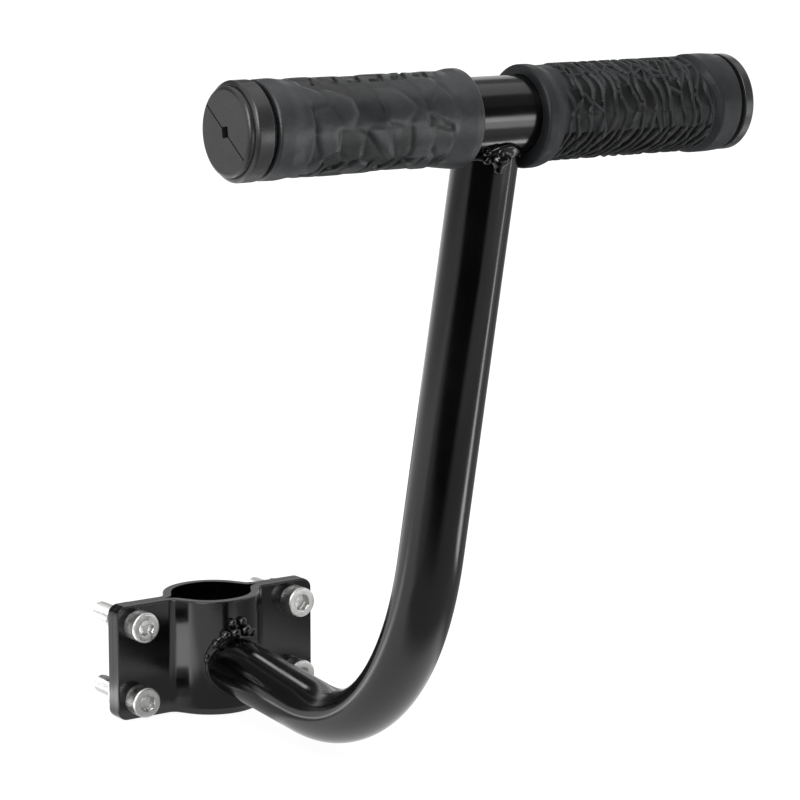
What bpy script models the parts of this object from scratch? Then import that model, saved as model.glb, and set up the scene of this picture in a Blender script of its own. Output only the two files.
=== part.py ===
"""Clamp-on T handle.

A split saddle clamp closes on a round post with four socket head screws.  A bent steel tube is
welded to the front saddle and carries a cross-bar with two rubber grips.
Axes: +Z up along the post, +X along the cross-bar, -Y the side the arm leaves on.
The origin is on the post's axis, at mid-height of the clamp.  Lengths are in metres.
"""
import math

import bpy
from mathutils import Vector

MM = 0.001
GAP = 0.3 * MM                  # clearance left between pieces that touch

# Saddle clamp, two bent sheet plates
BORE_R = 13.2 * MM
SHEET = 2.8 * MM
SPLIT = 0.3 * MM                # half of the slit between the two plates
PLATE_W = 75.0 * MM
PLATE_H = 38.0 * MM
CORNER_R = 3.5 * MM
BEND_R = 3.0 * MM               # inside radius where a flange turns into the half round
SADDLE_R = BORE_R + SHEET
FLANGE_FACE = SPLIT + SHEET     # distance of each outer flange face from the split plane

# M6 screws and nuts
SCREW_X = 30.0 * MM
SCREW_Z = 12.5 * MM
THREAD_R = 3.0 * MM
HOLE_R = 3.3 * MM
SHANK_L = 25.0 * MM
HEAD_R = 5.0 * MM
HEAD_L = 6.0 * MM
SOCKET_AF = 5.0 * MM
SOCKET_DEPTH = 3.0 * MM
NUT_AF = 10.0 * MM
NUT_T = 5.0 * MM
EDGE = 0.5 * MM                 # chamfer on heads, tips and nuts

# Bent arm tube
ARM_R = 9.5 * MM
ARM_WALL = 1.5 * MM
ARM_Z = -1.6 * MM               # height of the arm's axis where it meets the post's axis
ARM_FALL = math.radians(5.2)    # the arm drops slightly on its way out
ARM_LEAN = math.radians(12.2)   # the upright leans away from the post
BEND_MEAN = 68.0 * MM
BEND_OPENING = 0.93             # share by which the bend's radius grows from start to end
BEND_EASE = 0.53                # share by which it is wider at both ends than in between
FLATTENING = 0.12               # share of its radius that the bent tube loses in the bend's plane
                                # and gains across it
RUN_OUT = 0.6                   # length of straight, in bends, over which the tube turns round again
ROUND_START = 25.0 * MM         # the arm is truly round this far out from the post's axis
ROUND_END = 45.0 * MM           # and this far below the cross-bar's axis

# Cross-bar
BAR_Y = -153.5 * MM
BAR_Z = 187.0 * MM
BAR_R = 11.1 * MM
BAR_WALL = 1.6 * MM
BAR_HALF = 79.0 * MM

# Grips and end plugs, measured along the bar from its middle
GRIP_START = 11.2 * MM
GRIP_END = 80.3 * MM
GRIP_BORE = BAR_R + GAP
GRIP_R = 13.4 * MM
COLLAR_R = 14.5 * MM
BAND_R = 13.9 * MM
PLUG_END = 87.4 * MM
RIM_END = 85.8 * MM             # where the flange's rim ends and the raised boss begins
BOSS_R = 12.4 * MM
PLUG_STEM_R = BAR_R - BAR_WALL - GAP
PLUG_STEM_START = 62.0 * MM

# Weld beads
BEAD_R = 2.4 * MM
BEAD_SWELL = 0.35 * MM
BEAD_LUMPS = 15

ROUND = 24                      # sides of screws, nuts and the arm
ROUND_BIG = 32                  # sides of the bar, the grips and the plugs

X_AXIS = Vector((1, 0, 0))
Y_AXIS = Vector((0, 1, 0))
Z_AXIS = Vector((0, 0, 1))


def material(name, colour, roughness, metallic):
    mat = bpy.data.materials.new(name)
    mat.use_nodes = True
    shader = mat.node_tree.nodes["Principled BSDF"]
    shader.inputs["Base Color"].default_value = (*colour, 1.0)
    shader.inputs["Roughness"].default_value = roughness
    shader.inputs["Metallic"].default_value = metallic
    mat.diffuse_color = (*colour, 1.0)
    return mat


def add_object(name, verts, faces, mat, location=(0, 0, 0)):
    mesh = bpy.data.meshes.new(name)
    mesh.from_pydata([tuple(v) for v in verts], [], faces)
    mesh.validate()
    mesh.update()
    mesh.shade_smooth()
    mesh.set_sharp_from_angle(angle=math.radians(35))
    obj = bpy.data.objects.new(name, mesh)
    obj.location = location
    bpy.context.scene.collection.objects.link(obj)
    if mat is not None:
        mesh.materials.append(mat)
    return obj


def loft(rings, closed=False):
    """Verts and faces of a skin over equal rings.  Each ring turns anticlockwise seen from the
    side that the rings advance to.  A closed skin joins its last ring to its first."""
    count = len(rings[0])
    verts = [v for ring in rings for v in ring]
    faces = []
    spans = len(rings) if closed else len(rings) - 1
    for i in range(spans):
        here = i * count
        there = ((i + 1) % len(rings)) * count
        for k in range(count):
            nxt = (k + 1) % count
            faces.append((here + k, here + nxt, there + nxt, there + k))
    if not closed:
        faces.append(tuple(reversed(range(count))))
        faces.append(tuple(range((len(rings) - 1) * count, len(rings) * count)))
    return verts, faces


def ring(centre, u, v, radius, sides):
    """Points of a circle round centre, turning from u to v."""
    steps = [2 * math.pi * k / sides for k in range(sides)]
    return [centre + radius * (math.cos(a) * u + math.sin(a) * v) for a in steps]


def hex_ring(centre, u, v, across_flats, sides):
    """Points of a hexagon, spaced like those of a circle so that the two can be skinned."""
    points = []
    for k in range(sides):
        a = 2 * math.pi * k / sides
        off_flat = (a % (math.pi / 3)) - math.pi / 6
        reach = across_flats / 2 / math.cos(off_flat)
        points.append(centre + reach * (math.cos(a) * u + math.sin(a) * v))
    return points


def turned(profile, axis, u, v, sides, closed):
    """Skin of a profile of (distance along axis, radius) pairs turned about the axis."""
    return loft([ring(axis * x, u, v, r, sides) for x, r in profile], closed)


def cutter(name, verts, faces):
    obj = add_object(name, verts, faces, None)
    obj.hide_render = True
    obj.display_type = 'WIRE'
    return obj


def rod_cutter(name, start, end, radius, sides=48):
    axis = (end - start).normalized()
    u = axis.orthogonal().normalized()
    v = axis.cross(u)
    verts, faces = loft([ring(start, u, v, radius, sides), ring(end, u, v, radius, sides)])
    return cutter(name, verts, faces)


def cut(obj, tool, operation='DIFFERENCE'):
    mod = obj.modifiers.new(tool.name, 'BOOLEAN')
    mod.operation = operation
    mod.solver = 'EXACT'
    mod.object = tool


def joined(parts):
    """One vert list and face list from several."""
    verts, faces = [], []
    for part_verts, part_faces in parts:
        base = len(verts)
        verts += part_verts
        faces += [tuple(base + i for i in face) for face in part_faces]
    return verts, faces


# ---------------------------------------------------------------- saddle clamp

def saddle_path():
    """Centre line of the front plate as (x, y, normal x, normal y), from -X to +X."""
    mean_y = -(SPLIT + SHEET / 2)
    mean_r = BORE_R + SHEET / 2
    fillet_r = BEND_R + SHEET / 2
    fillet_y = mean_y - fillet_r
    fillet_x = math.sqrt((mean_r + fillet_r) ** 2 - fillet_y ** 2)
    turn = math.atan2(-fillet_y, fillet_x)          # the half round starts this far below X
    half = []
    steps = 6
    for k in range(steps + 1):
        a = math.pi / 2 - (math.pi / 2 - turn) * k / steps
        nx, ny = math.cos(a), math.sin(a)
        half.append((-fillet_x + fillet_r * nx, fillet_y + fillet_r * ny, nx, ny))
    steps = 11
    for k in range(1, steps + 1):
        a = math.pi + turn + (math.pi / 2 - turn) * k / steps
        nx, ny = math.cos(a), math.sin(a)
        half.append((mean_r * nx, mean_r * ny, -nx, -ny))
    overshoot = PLATE_W / 2 + 2 * MM
    half.insert(0, (-overshoot, mean_y, 0.0, 1.0))
    other = [(-x, y, -nx, ny) for x, y, nx, ny in reversed(half[:-1])]
    return half + other


def rounded_blank():
    """Prism along Y with the plates' outline, to trim a plate with."""
    steps = 6
    outline = []
    for cx, cz, start in ((1, 1, 0.0), (-1, 1, 0.5), (-1, -1, 1.0), (1, -1, 1.5)):
        for k in range(steps + 1):
            a = math.pi * (start + 0.5 * k / steps)
            x = cx * (PLATE_W / 2 - CORNER_R) + CORNER_R * math.cos(a)
            z = cz * (PLATE_H / 2 - CORNER_R) + CORNER_R * math.sin(a)
            outline.append((x, z))
    depth = 2 * SADDLE_R
    back = [Vector((x, depth, z)) for x, z in outline]
    front = [Vector((x, -depth, z)) for x, z in outline]
    return loft([back, front])


def screw_places():
    for side, x in (("left", -SCREW_X), ("right", SCREW_X)):
        for level, z in (("upper", SCREW_Z), ("lower", -SCREW_Z)):
            yield f"{level}_{side}", x, z


def saddle(name, facing, blank, holes, mat):
    """One bent plate.  facing is 1 for the front plate and -1 for the rear one."""
    top = PLATE_H / 2 + 2 * MM
    sections = []
    for x, y, nx, ny in saddle_path():
        back = Vector((x + nx * SHEET / 2, (y + ny * SHEET / 2) * facing, 0))
        front = Vector((x - nx * SHEET / 2, (y - ny * SHEET / 2) * facing, 0))
        lift = Z_AXIS * top
        section = [back - lift, front - lift, front + lift, back + lift]
        if facing < 0:
            section.reverse()
        sections.append(section)
    verts, faces = loft(sections)
    obj = add_object(name, verts, faces, mat)
    cut(obj, blank, 'INTERSECT')
    cut(obj, holes)
    return obj


def clamp(mat):
    verts, faces = rounded_blank()
    blank = cutter("plate_outline", verts, faces)
    drills = []
    for _, x, z in screw_places():
        rings = [ring(Vector((x, y, z)), Z_AXIS, X_AXIS, HOLE_R, ROUND) for y in (-0.01, 0.01)]
        drills.append(loft(rings))
    verts, faces = joined(drills)
    holes = cutter("screw_holes", verts, faces)
    saddle("front_saddle", 1, blank, holes, mat)
    saddle("rear_saddle", -1, blank, holes, mat)


# ---------------------------------------------------------------- screws and nuts

def screw_skin():
    """Socket head screw along +Y.  Its origin is on the clamp's split plane."""
    under = -(FLANGE_FACE + GAP)
    top = under - HEAD_L
    tip = under + SHANK_L
    u, v = Z_AXIS, X_AXIS
    rings = [
        hex_ring(Y_AXIS * (top + SOCKET_DEPTH), u, v, SOCKET_AF, ROUND),
        hex_ring(Y_AXIS * top, u, v, SOCKET_AF, ROUND),
        ring(Y_AXIS * top, u, v, HEAD_R - EDGE, ROUND),
        ring(Y_AXIS * (top + EDGE), u, v, HEAD_R, ROUND),
        ring(Y_AXIS * under, u, v, HEAD_R, ROUND),
        ring(Y_AXIS * under, u, v, THREAD_R, ROUND),
        ring(Y_AXIS * (tip - EDGE), u, v, THREAD_R, ROUND),
        ring(Y_AXIS * tip, u, v, THREAD_R - EDGE, ROUND),
    ]
    return loft(rings)


def nut_skin():
    """Hexagon nut about the Y axis, seated behind the rear plate."""
    near = FLANGE_FACE + GAP
    far = near + NUT_T
    u, v = Z_AXIS, X_AXIS
    face_r = NUT_AF / 2 - 0.1 * MM
    rings = [
        ring(Y_AXIS * near, u, v, HOLE_R, ROUND),
        ring(Y_AXIS * near, u, v, face_r, ROUND),
        hex_ring(Y_AXIS * (near + EDGE), u, v, NUT_AF, ROUND),
        hex_ring(Y_AXIS * (far - EDGE), u, v, NUT_AF, ROUND),
        ring(Y_AXIS * far, u, v, face_r, ROUND),
        ring(Y_AXIS * far, u, v, HOLE_R, ROUND),
    ]
    return loft(rings, closed=True)


def fasteners(mat):
    for place, x, z in screw_places():
        add_object(f"screw_{place}", *screw_skin(), mat, (x, 0, z))
        add_object(f"nut_{place}", *nut_skin(), mat, (x, 0, z))


# ---------------------------------------------------------------- arm

def arm_directions():
    out = Vector((0, -math.cos(ARM_FALL), -math.sin(ARM_FALL)))
    up = Vector((0, -math.sin(ARM_LEAN), math.cos(ARM_LEAN)))
    return out, up


def bend_radius(share):
    opening = BEND_OPENING * (share - 0.5)
    ease = BEND_EASE * ((2 * share - 1) ** 2 - 1 / 3)
    return BEND_MEAN * (1 + opening + ease)


def arm_path():
    """Stations along the arm's axis as (point, direction, flattening): a straight, a bend whose
    radius grows, and a straight up to the cross-bar's axis.  The tube is flattest in mid-bend."""
    out, up = arm_directions()
    side = (up - out * up.dot(out)).normalized()
    total = out.angle(up)
    steps = 20
    fine = 20                       # small steps that one bend step is added up from
    bend = [(Vector((0, 0, 0)), out, 0.0)]
    for k in range(steps):
        point = bend[-1][0].copy()
        for j in range(fine):
            share = (k + (j + 0.5) / fine) / steps
            heading = out * math.cos(total * share) + side * math.sin(total * share)
            point += heading * bend_radius(share) * total / (steps * fine)
        share = (k + 1) / steps
        heading = out * math.cos(total * share) + side * math.sin(total * share)
        bend.append((point, heading, share))
    start = Vector((0, 0, ARM_Z))
    end = Vector((0, BAR_Y, BAR_Z))
    # the first straight's length is solved so that the last one ends on the cross-bar's axis
    rest = end - start - bend[-1][0]
    det = out.y * up.z - out.z * up.y
    first = (rest.y * up.z - rest.z * up.y) / det
    base = start + out * first
    top = base + bend[-1][0]
    last = (end - top).length
    runs = 4
    stations = [(start + out * BORE_R * 0.5, out, -RUN_OUT)]
    for k in range(runs):
        share = k / runs
        along = ROUND_START + (first - ROUND_START) * share
        stations.append((start + out * along, out, RUN_OUT * (share - 1)))
    stations += [(base + point, heading, share) for point, heading, share in bend]
    for k in range(1, runs + 1):
        share = k / runs
        stations.append((top + up * (last - ROUND_END) * share, up, 1 + RUN_OUT * share))
    stations.append((end, up, 1 + RUN_OUT))
    span = 1 + 2 * RUN_OUT
    return [(p, d, FLATTENING * math.cos(math.pi * (s - 0.5) / span)) for p, d, s in stations]


def arm_rings(inset):
    """Oval sections of the arm, inset from its outside."""
    rings = []
    for point, heading, flat in arm_path():
        wide = X_AXIS * (ARM_R * (1 + flat) - inset)
        narrow = heading.cross(X_AXIS) * (ARM_R * (1 - flat) - inset)
        rings.append(ring(point, wide, narrow, 1.0, ROUND))
    return rings


def arm(mat):
    rings = arm_rings(0) + list(reversed(arm_rings(ARM_WALL)))
    obj = add_object("arm_tube", *loft(rings, closed=True), mat)
    reach = Z_AXIS * PLATE_H
    cut(obj, rod_cutter("saddle_cope", -reach, reach, SADDLE_R + GAP))
    middle = Vector((0, BAR_Y, BAR_Z))
    half = X_AXIS * 2 * ARM_R
    cut(obj, rod_cutter("bar_cope", middle - half, middle + half, BAR_R + GAP))


# ---------------------------------------------------------------- weld beads

def bead_skin(points, outward, thickness):
    """Lumpy ring of weld metal along a closed loop of points."""
    count = len(points)
    rings = []
    for i, point in enumerate(points):
        tangent = (points[(i + 1) % count] - points[i - 1]).normalized()
        u = (outward[i] - tangent * outward[i].dot(tangent)).normalized()
        v = tangent.cross(u)
        swell = BEAD_SWELL * math.cos(2 * math.pi * BEAD_LUMPS * i / count)
        rings.append(ring(point, u, v, thickness[i] + swell, 10))
    return loft(rings, closed=True)


def arm_bead(mat):
    """Bead where the arm meets the front plate's half round."""
    out, _ = arm_directions()
    over = Vector((0, -math.sin(ARM_FALL), math.cos(ARM_FALL)))
    start = Vector((0, 0, ARM_Z))
    points, outward, thickness = [], [], []
    count = BEAD_LUMPS * 5
    for i in range(count):
        a = 2 * math.pi * i / count
        radial = math.cos(a) * X_AXIS + math.sin(a) * over
        flat = math.sqrt(SADDLE_R ** 2 - (ARM_R * math.cos(a)) ** 2)
        along = (flat + ARM_R * radial.y) / math.cos(ARM_FALL)
        point = start + out * along + radial * ARM_R
        wall = Vector((point.x, point.y, 0)).normalized()
        points.append(point)
        outward.append(radial + wall)
        thickness.append(BEAD_R)
    obj = add_object("arm_weld_bead", *bead_skin(points, outward, thickness), mat)
    reach = Z_AXIS * PLATE_H
    cut(obj, rod_cutter("saddle_relief", -reach, reach, SADDLE_R + GAP, 96))
    cut(obj, rod_cutter("arm_relief", start, start + out * 3 * SADDLE_R, ARM_R + GAP))


def bar_bead(mat):
    """Bead where the upright meets the underside of the cross-bar.  It thins out beside the
    upright, where the grips' collars come close."""
    _, up = arm_directions()
    over = Vector((0, -math.cos(ARM_LEAN), -math.sin(ARM_LEAN)))
    middle = Vector((0, BAR_Y, BAR_Z))
    points, outward, thickness = [], [], []
    count = BEAD_LUMPS * 5
    for i in range(count):
        a = 2 * math.pi * i / count
        radial = math.cos(a) * X_AXIS + math.sin(a) * over
        down = math.sqrt(BAR_R ** 2 - (ARM_R * math.sin(a)) ** 2)
        point = middle - up * down + radial * ARM_R
        wall = Vector((0, point.y - BAR_Y, point.z - BAR_Z)).normalized()
        points.append(point)
        outward.append(radial + wall)
        thickness.append(BEAD_R - 1.2 * MM * math.cos(a) ** 2)
    obj = add_object("bar_weld_bead", *bead_skin(points, outward, thickness), mat)
    half = X_AXIS * 2 * ARM_R
    cut(obj, rod_cutter("bar_relief", middle - half, middle + half, BAR_R + GAP, 96))
    cut(obj, rod_cutter("upright_relief", middle - up * 4 * ARM_R, middle, ARM_R + GAP))


# ---------------------------------------------------------------- cross-bar, grips and plugs

def cross_tube(mat):
    inner = BAR_R - BAR_WALL
    profile = [(-BAR_HALF, BAR_R), (BAR_HALF, BAR_R), (BAR_HALF, inner), (-BAR_HALF, inner)]
    skin = turned(profile, X_AXIS, Y_AXIS, Z_AXIS, ROUND_BIG, True)
    add_object("cross_tube", *skin, mat, (0, BAR_Y, BAR_Z))


def grip_profile():
    """Outline of a grip: a flared collar at the inner end, a body, a raised band at the outer end."""
    points = [(GRIP_START, GRIP_BORE), (GRIP_START, COLLAR_R - 0.9 * MM)]
    points.append((GRIP_START + 0.6 * MM, COLLAR_R - 0.2 * MM))
    points.append((GRIP_START + 2.0 * MM, COLLAR_R))
    points.append((GRIP_START + 4.2 * MM, COLLAR_R - 0.5 * MM))
    points.append((GRIP_START + 7.0 * MM, GRIP_R + 0.2 * MM))
    points.append((GRIP_START + 9.0 * MM, GRIP_R))
    points.append((GRIP_END - 9.0 * MM, GRIP_R))
    points.append((GRIP_END - 6.0 * MM, BAND_R))
    points.append((GRIP_END - 0.6 * MM, BAND_R))
    points.append((GRIP_END, BAND_R - 0.6 * MM))
    points.append((GRIP_END, GRIP_BORE))
    return points


def plug_profile():
    """Outline of an end plug: stem, neck, flange with a bevelled rim, and a raised round boss."""
    neck = GRIP_END + GAP
    flange = neck + 0.8 * MM
    return [
        (PLUG_STEM_START, PLUG_STEM_R - 0.8 * MM), (PLUG_STEM_START + MM, PLUG_STEM_R),
        (neck, PLUG_STEM_R), (neck, BAND_R - 1.2 * MM), (flange, BAND_R - 1.2 * MM),
        (flange, BAND_R - 0.3 * MM), (flange + 0.4 * MM, BAND_R),
        (RIM_END - 0.7 * MM, BAND_R), (RIM_END, BAND_R - 0.9 * MM),
        (RIM_END, BOSS_R), (PLUG_END - 0.9 * MM, BOSS_R),
        (PLUG_END - 0.3 * MM, BOSS_R - 0.3 * MM), (PLUG_END, BOSS_R - 0.9 * MM),
    ]


def grips_and_plugs(rubber, plastic):
    for side, axis in (("left", -X_AXIS), ("right", X_AXIS)):
        u = Z_AXIS
        v = axis.cross(u)
        place = (0, BAR_Y, BAR_Z)
        skin = turned(grip_profile(), axis, u, v, ROUND_BIG, True)
        add_object(f"{side}_grip", *skin, rubber, place)
        skin = turned(plug_profile(), axis, u, v, ROUND_BIG, False)
        plug = add_object(f"{side}_end_plug", *skin, plastic, place)
        # a small square core hole in the middle of the plug
        middle = Vector(place)
        hole = rod_cutter(f"{side}_core_hole", middle + axis * (PLUG_END - 4 * MM),
                          middle + axis * (PLUG_END + MM), 1.6 * MM, 4)
        cut(plug, hole)


def main():
    for obj in list(bpy.data.objects):
        bpy.data.objects.remove(obj, do_unlink=True)
    paint = material("black_gloss_paint", (0.012, 0.012, 0.013), 0.16, 0.0)
    zinc = material("zinc_steel", (0.72, 0.72, 0.70), 0.28, 1.0)
    rubber = material("grip_rubber", (0.035, 0.037, 0.038), 0.62, 0.0)
    plastic = material("plug_rubber", (0.045, 0.046, 0.048), 0.5, 0.0)
    clamp(paint)
    fasteners(zinc)
    arm(paint)
    arm_bead(paint)
    bar_bead(paint)
    cross_tube(paint)
    grips_and_plugs(rubber, plastic)


main()
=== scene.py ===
"""Looks of a clamp-on T handle: black gloss tube and clamp, zinc screws, ribbed rubber grips.

Each piece stands for one CAD node and rides on that node's body.  Axes and origin are the CAD
model's: +Z up along the post, +X along the cross-bar, -Y the side that the arm leaves on, and the
origin on the post's axis at mid-height of the clamp.  Lengths are in metres, unless a comment says
millimetres.
"""
import math
import random
from typing import NamedTuple

import bmesh
import bpy
import numpy as np
from mathutils import Matrix, Vector


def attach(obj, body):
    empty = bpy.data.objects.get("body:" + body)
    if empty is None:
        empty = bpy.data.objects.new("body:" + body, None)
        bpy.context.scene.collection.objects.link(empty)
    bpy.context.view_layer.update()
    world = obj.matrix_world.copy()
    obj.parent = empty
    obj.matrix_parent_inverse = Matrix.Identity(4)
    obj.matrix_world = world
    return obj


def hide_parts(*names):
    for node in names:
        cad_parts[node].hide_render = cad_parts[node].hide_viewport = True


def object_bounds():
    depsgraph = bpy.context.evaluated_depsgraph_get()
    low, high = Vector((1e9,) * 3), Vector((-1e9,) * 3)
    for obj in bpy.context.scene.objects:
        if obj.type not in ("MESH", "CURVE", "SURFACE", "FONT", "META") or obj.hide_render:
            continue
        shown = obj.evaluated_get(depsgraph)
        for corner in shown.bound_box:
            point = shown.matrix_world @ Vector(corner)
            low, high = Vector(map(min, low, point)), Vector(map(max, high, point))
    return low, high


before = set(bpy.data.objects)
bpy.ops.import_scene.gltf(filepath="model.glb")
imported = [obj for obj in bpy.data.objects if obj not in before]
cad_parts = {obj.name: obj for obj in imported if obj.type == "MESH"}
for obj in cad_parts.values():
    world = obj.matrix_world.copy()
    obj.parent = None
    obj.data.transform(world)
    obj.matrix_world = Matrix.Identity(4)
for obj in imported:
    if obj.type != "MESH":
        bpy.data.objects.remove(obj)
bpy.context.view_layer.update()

MM = 0.001
X = Vector((1, 0, 0))
Y = Vector((0, 1, 0))
Z = Vector((0, 0, 1))

# Saddle clamp, two bent sheet plates
BORE_R = 13.2 * MM
SHEET = 2.8 * MM
SPLIT = 0.3 * MM                # half of the slit between the two plates
PAINT_SPLIT = 0.26 * MM         # how far each mating face is built up, so that the slit all but closes
PLATE_W = 75 * MM
PLATE_H = 38 * MM
CORNER_R = 3.5 * MM
BEND_R = 3 * MM                 # inside radius where a flange turns into the half round
HALF_ROUND = math.radians(60)   # half of the arc that is truly round
OUTER_EDGE = 0.5 * MM           # rounding of a plate's outer edges
MATING_EDGE = 0.12 * MM         # rounding of the edges on its mating face
SADDLE_R = BORE_R + SHEET
FLANGE_FACE = SPLIT + SHEET     # distance of each outer flange face from the split plane

# M6 screws and nuts
SCREW_X = 30 * MM
SCREW_Z = 12.5 * MM
THREAD_R = 3 * MM
THREAD_DEPTH = 0.61 * MM
PITCH = 1.0 * MM
HOLE_R = 3.3 * MM
SHANK_L = 25 * MM
CAD_GAP = 0.3 * MM              # the CAD leaves this under each head, and here the head touches
HEAD_R = 5.0 * MM
HEAD_L = 6.0 * MM
HEAD_ROUND = 0.7 * MM
KNURLS = 40
SOCKET_AF = 5.0 * MM
NUT_AF = 10.0 * MM
NUT_T = 5.0 * MM

# Bent arm tube
ARM_R = 9.5 * MM
ARM_Z = -1.6 * MM               # height of the arm's axis where it meets the post's axis
ARM_FALL = math.radians(5.2)    # the arm drops slightly on its way out
ARM_LEAN = math.radians(12.2)   # the upright leans away from the post
BEND_MEAN = 68 * MM
BEND_OPENING = 0.93             # share by which the bend's radius grows from start to end
BEND_EASE = 0.53                # share by which it is wider at both ends than in between
FLATTENING = 0.12               # share of its radius that the tube loses in the bend's plane
RUN_OUT = 0.6                   # length of straight, in bends, over which it turns round again
ROUND_START = 25 * MM           # the arm is truly round this far out from the post's axis
ROUND_END = 45 * MM             # and this far below the cross-bar's axis
SADDLE_SINK = 1.2 * MM          # the tube's ends run this far into the saddle's wall
BAR_SINK = 0.8 * MM             # and into the bar's

# Cross-bar
BAR_Y = -153.5 * MM
BAR_Z = 187 * MM
BAR_R = 11.1 * MM
BAR_HALF = 79 * MM
BAR_MID = Vector((0, BAR_Y, BAR_Z))

SHARP = 35                      # degrees from which an edge is shaded sharp


# ---------------------------------------------------------------- mesh helpers

def mesh_object(name, verts, faces, mat, sharp=SHARP):
    mesh = bpy.data.meshes.new(name)
    mesh.from_pydata([tuple(v) for v in verts], [], [tuple(f) for f in faces])
    mesh.update()
    mesh.shade_smooth()
    mesh.set_sharp_from_angle(angle=math.radians(sharp))
    mesh.materials.append(mat)
    obj = bpy.data.objects.new(name, mesh)
    bpy.context.scene.collection.objects.link(obj)
    return obj


def skin(rings, closed=False, caps=True):
    """Verts and faces over equal rings, given as an array of rings x sides x 3."""
    rings = np.asarray(rings, float)
    spans, sides = rings.shape[0], rings.shape[1]
    count = spans if closed else spans - 1
    i, k = np.meshgrid(np.arange(count), np.arange(sides), indexing="ij")
    here, there, nxt = i * sides, ((i + 1) % spans) * sides, (k + 1) % sides
    quads = np.stack([here + k, here + nxt, there + nxt, there + k], -1).reshape(-1, 4)
    faces = quads.tolist()
    if not closed and caps:
        faces.append(list(range(sides))[::-1])
        faces.append(list(range((spans - 1) * sides, spans * sides)))
    return rings.reshape(-1, 3), faces


def full_turn(sides):
    """Evenly spaced angles round a circle."""
    return [2 * math.pi * k / sides for k in range(sides)]


def turned(profile, centre, axis, u, sides, closed=False):
    """Skin of (distance along axis, radius) pairs turned about the axis."""
    v = axis.cross(u)
    rings = []
    for along, radius in profile:
        spot = centre + axis * along
        rings.append([spot + (u * math.cos(a) + v * math.sin(a)) * radius for a in full_turn(sides)])
    return skin(rings, closed)


def spun(rows, sides):
    """Rings about the Y axis from (y, radius at an angle) pairs, where the radius is a function."""
    return [[(radius(a) * math.sin(a), y, radius(a) * math.cos(a)) for a in full_turn(sides)]
            for y, radius in rows]


def rounded(points, radius, steps):
    """A polyline of (x, y) with each inner corner rounded by a short curve."""
    out = [points[0]]
    for before, here, after in zip(points, points[1:], points[2:]):
        a, b, c = Vector(before), Vector(here), Vector(after)
        room = 0.45                                      # share of a side that one corner may take
        reach = min(radius, (a - b).length * room, (c - b).length * room)
        p, q = b + (a - b).normalized() * reach, b + (c - b).normalized() * reach
        for k in range(steps + 1):
            t = k / steps
            out.append(tuple(p * (1 - t) ** 2 + b * 2 * t * (1 - t) + q * t * t))
    out.append(points[-1])
    return out


def baked(obj):
    """Replaces the object's mesh by its modifiers' result."""
    graph = bpy.context.evaluated_depsgraph_get()
    mesh = bpy.data.meshes.new_from_object(obj.evaluated_get(graph))
    obj.modifiers.clear()
    obj.data = mesh


def cut(obj, tools):
    """Cuts the tools' meshes out of the object and removes the tools."""
    for tool in tools:
        mod = obj.modifiers.new("cut", "BOOLEAN")
        mod.object = tool
        mod.solver = "EXACT"
        mod.operation = "DIFFERENCE"
    baked(obj)
    for tool in tools:
        bpy.data.objects.remove(tool)
    obj.data.shade_smooth()
    obj.data.set_sharp_from_angle(angle=math.radians(SHARP))


def flat_shading(obj):
    """Keeps large flat faces flat in the shading beside rounded edges."""
    mod = obj.modifiers.new("weighted", "WEIGHTED_NORMAL")
    mod.keep_sharp = True
    mod.weight = 100                                     # large faces decide


def show(obj, body, slot, *nodes):
    """Makes a piece move with a CAD body and stand for CAD nodes; the slot is not used."""
    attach(obj, body)
    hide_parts(*nodes)


# ---------------------------------------------------------------- materials

class Nodes:
    """A short way to build one material's node tree."""

    def __init__(self, name):
        self.mat = bpy.data.materials.new(name)
        self.mat.use_nodes = True
        self.tree = self.mat.node_tree
        self.shader = self.tree.nodes["Principled BSDF"]
        self.coords = self.tree.nodes.new("ShaderNodeTexCoord").outputs["Object"]

    def add(self, kind, **values):
        """A new node.  A value is a socket to link from, a property of the node or an input."""
        node = self.tree.nodes.new("ShaderNode" + kind)
        for key, value in values.items():
            if isinstance(value, bpy.types.NodeSocket):
                self.tree.links.new(value, node.inputs[key.replace("_", " ")])
            elif hasattr(node, key):
                setattr(node, key, value)
            else:
                node.inputs[key.replace("_", " ")].default_value = value
        return node

    def noise(self, scale, detail, rough=0.5):
        """Noise whose largest features are about 1 / scale metres wide."""
        node = self.add("TexNoise", Vector=self.coords, Scale=scale, Detail=detail, Roughness=rough)
        return node.outputs["Fac"]

    def span(self, noise, low, high):
        """Stretches a noise, which is mostly between 0.3 and 0.7, over low to high."""
        node = self.add("MapRange", Value=noise, From_Min=0.3, From_Max=0.7, To_Min=low, To_Max=high)
        return node.outputs["Result"]

    def mix(self, fac, dark, light):
        """A colour between two others, each an (r, g, b) tuple or a socket."""
        node = self.add("Mix", data_type="RGBA", Factor=fac)
        for socket, colour in (("A", dark), ("B", light)):
            if isinstance(colour, bpy.types.NodeSocket):
                self.tree.links.new(colour, node.inputs[socket])
            else:
                node.inputs[socket].default_value = (*colour, 1)
        return node.outputs["Result"]

    def math(self, how, a, b):
        node = self.add("Math", operation=how)
        for i, value in enumerate((a, b)):
            if isinstance(value, bpy.types.NodeSocket):
                self.tree.links.new(value, node.inputs[i])
            else:
                node.inputs[i].default_value = value
        return node.outputs[0]

    def set(self, socket, value):
        if isinstance(value, bpy.types.NodeSocket):
            self.tree.links.new(value, self.shader.inputs[socket])
        else:
            self.shader.inputs[socket].default_value = value

    def bump(self, height, distance, strength):
        node = self.add("Bump", Height=height, Distance=distance, Strength=strength)
        self.set("Normal", node.outputs["Normal"])


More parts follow.
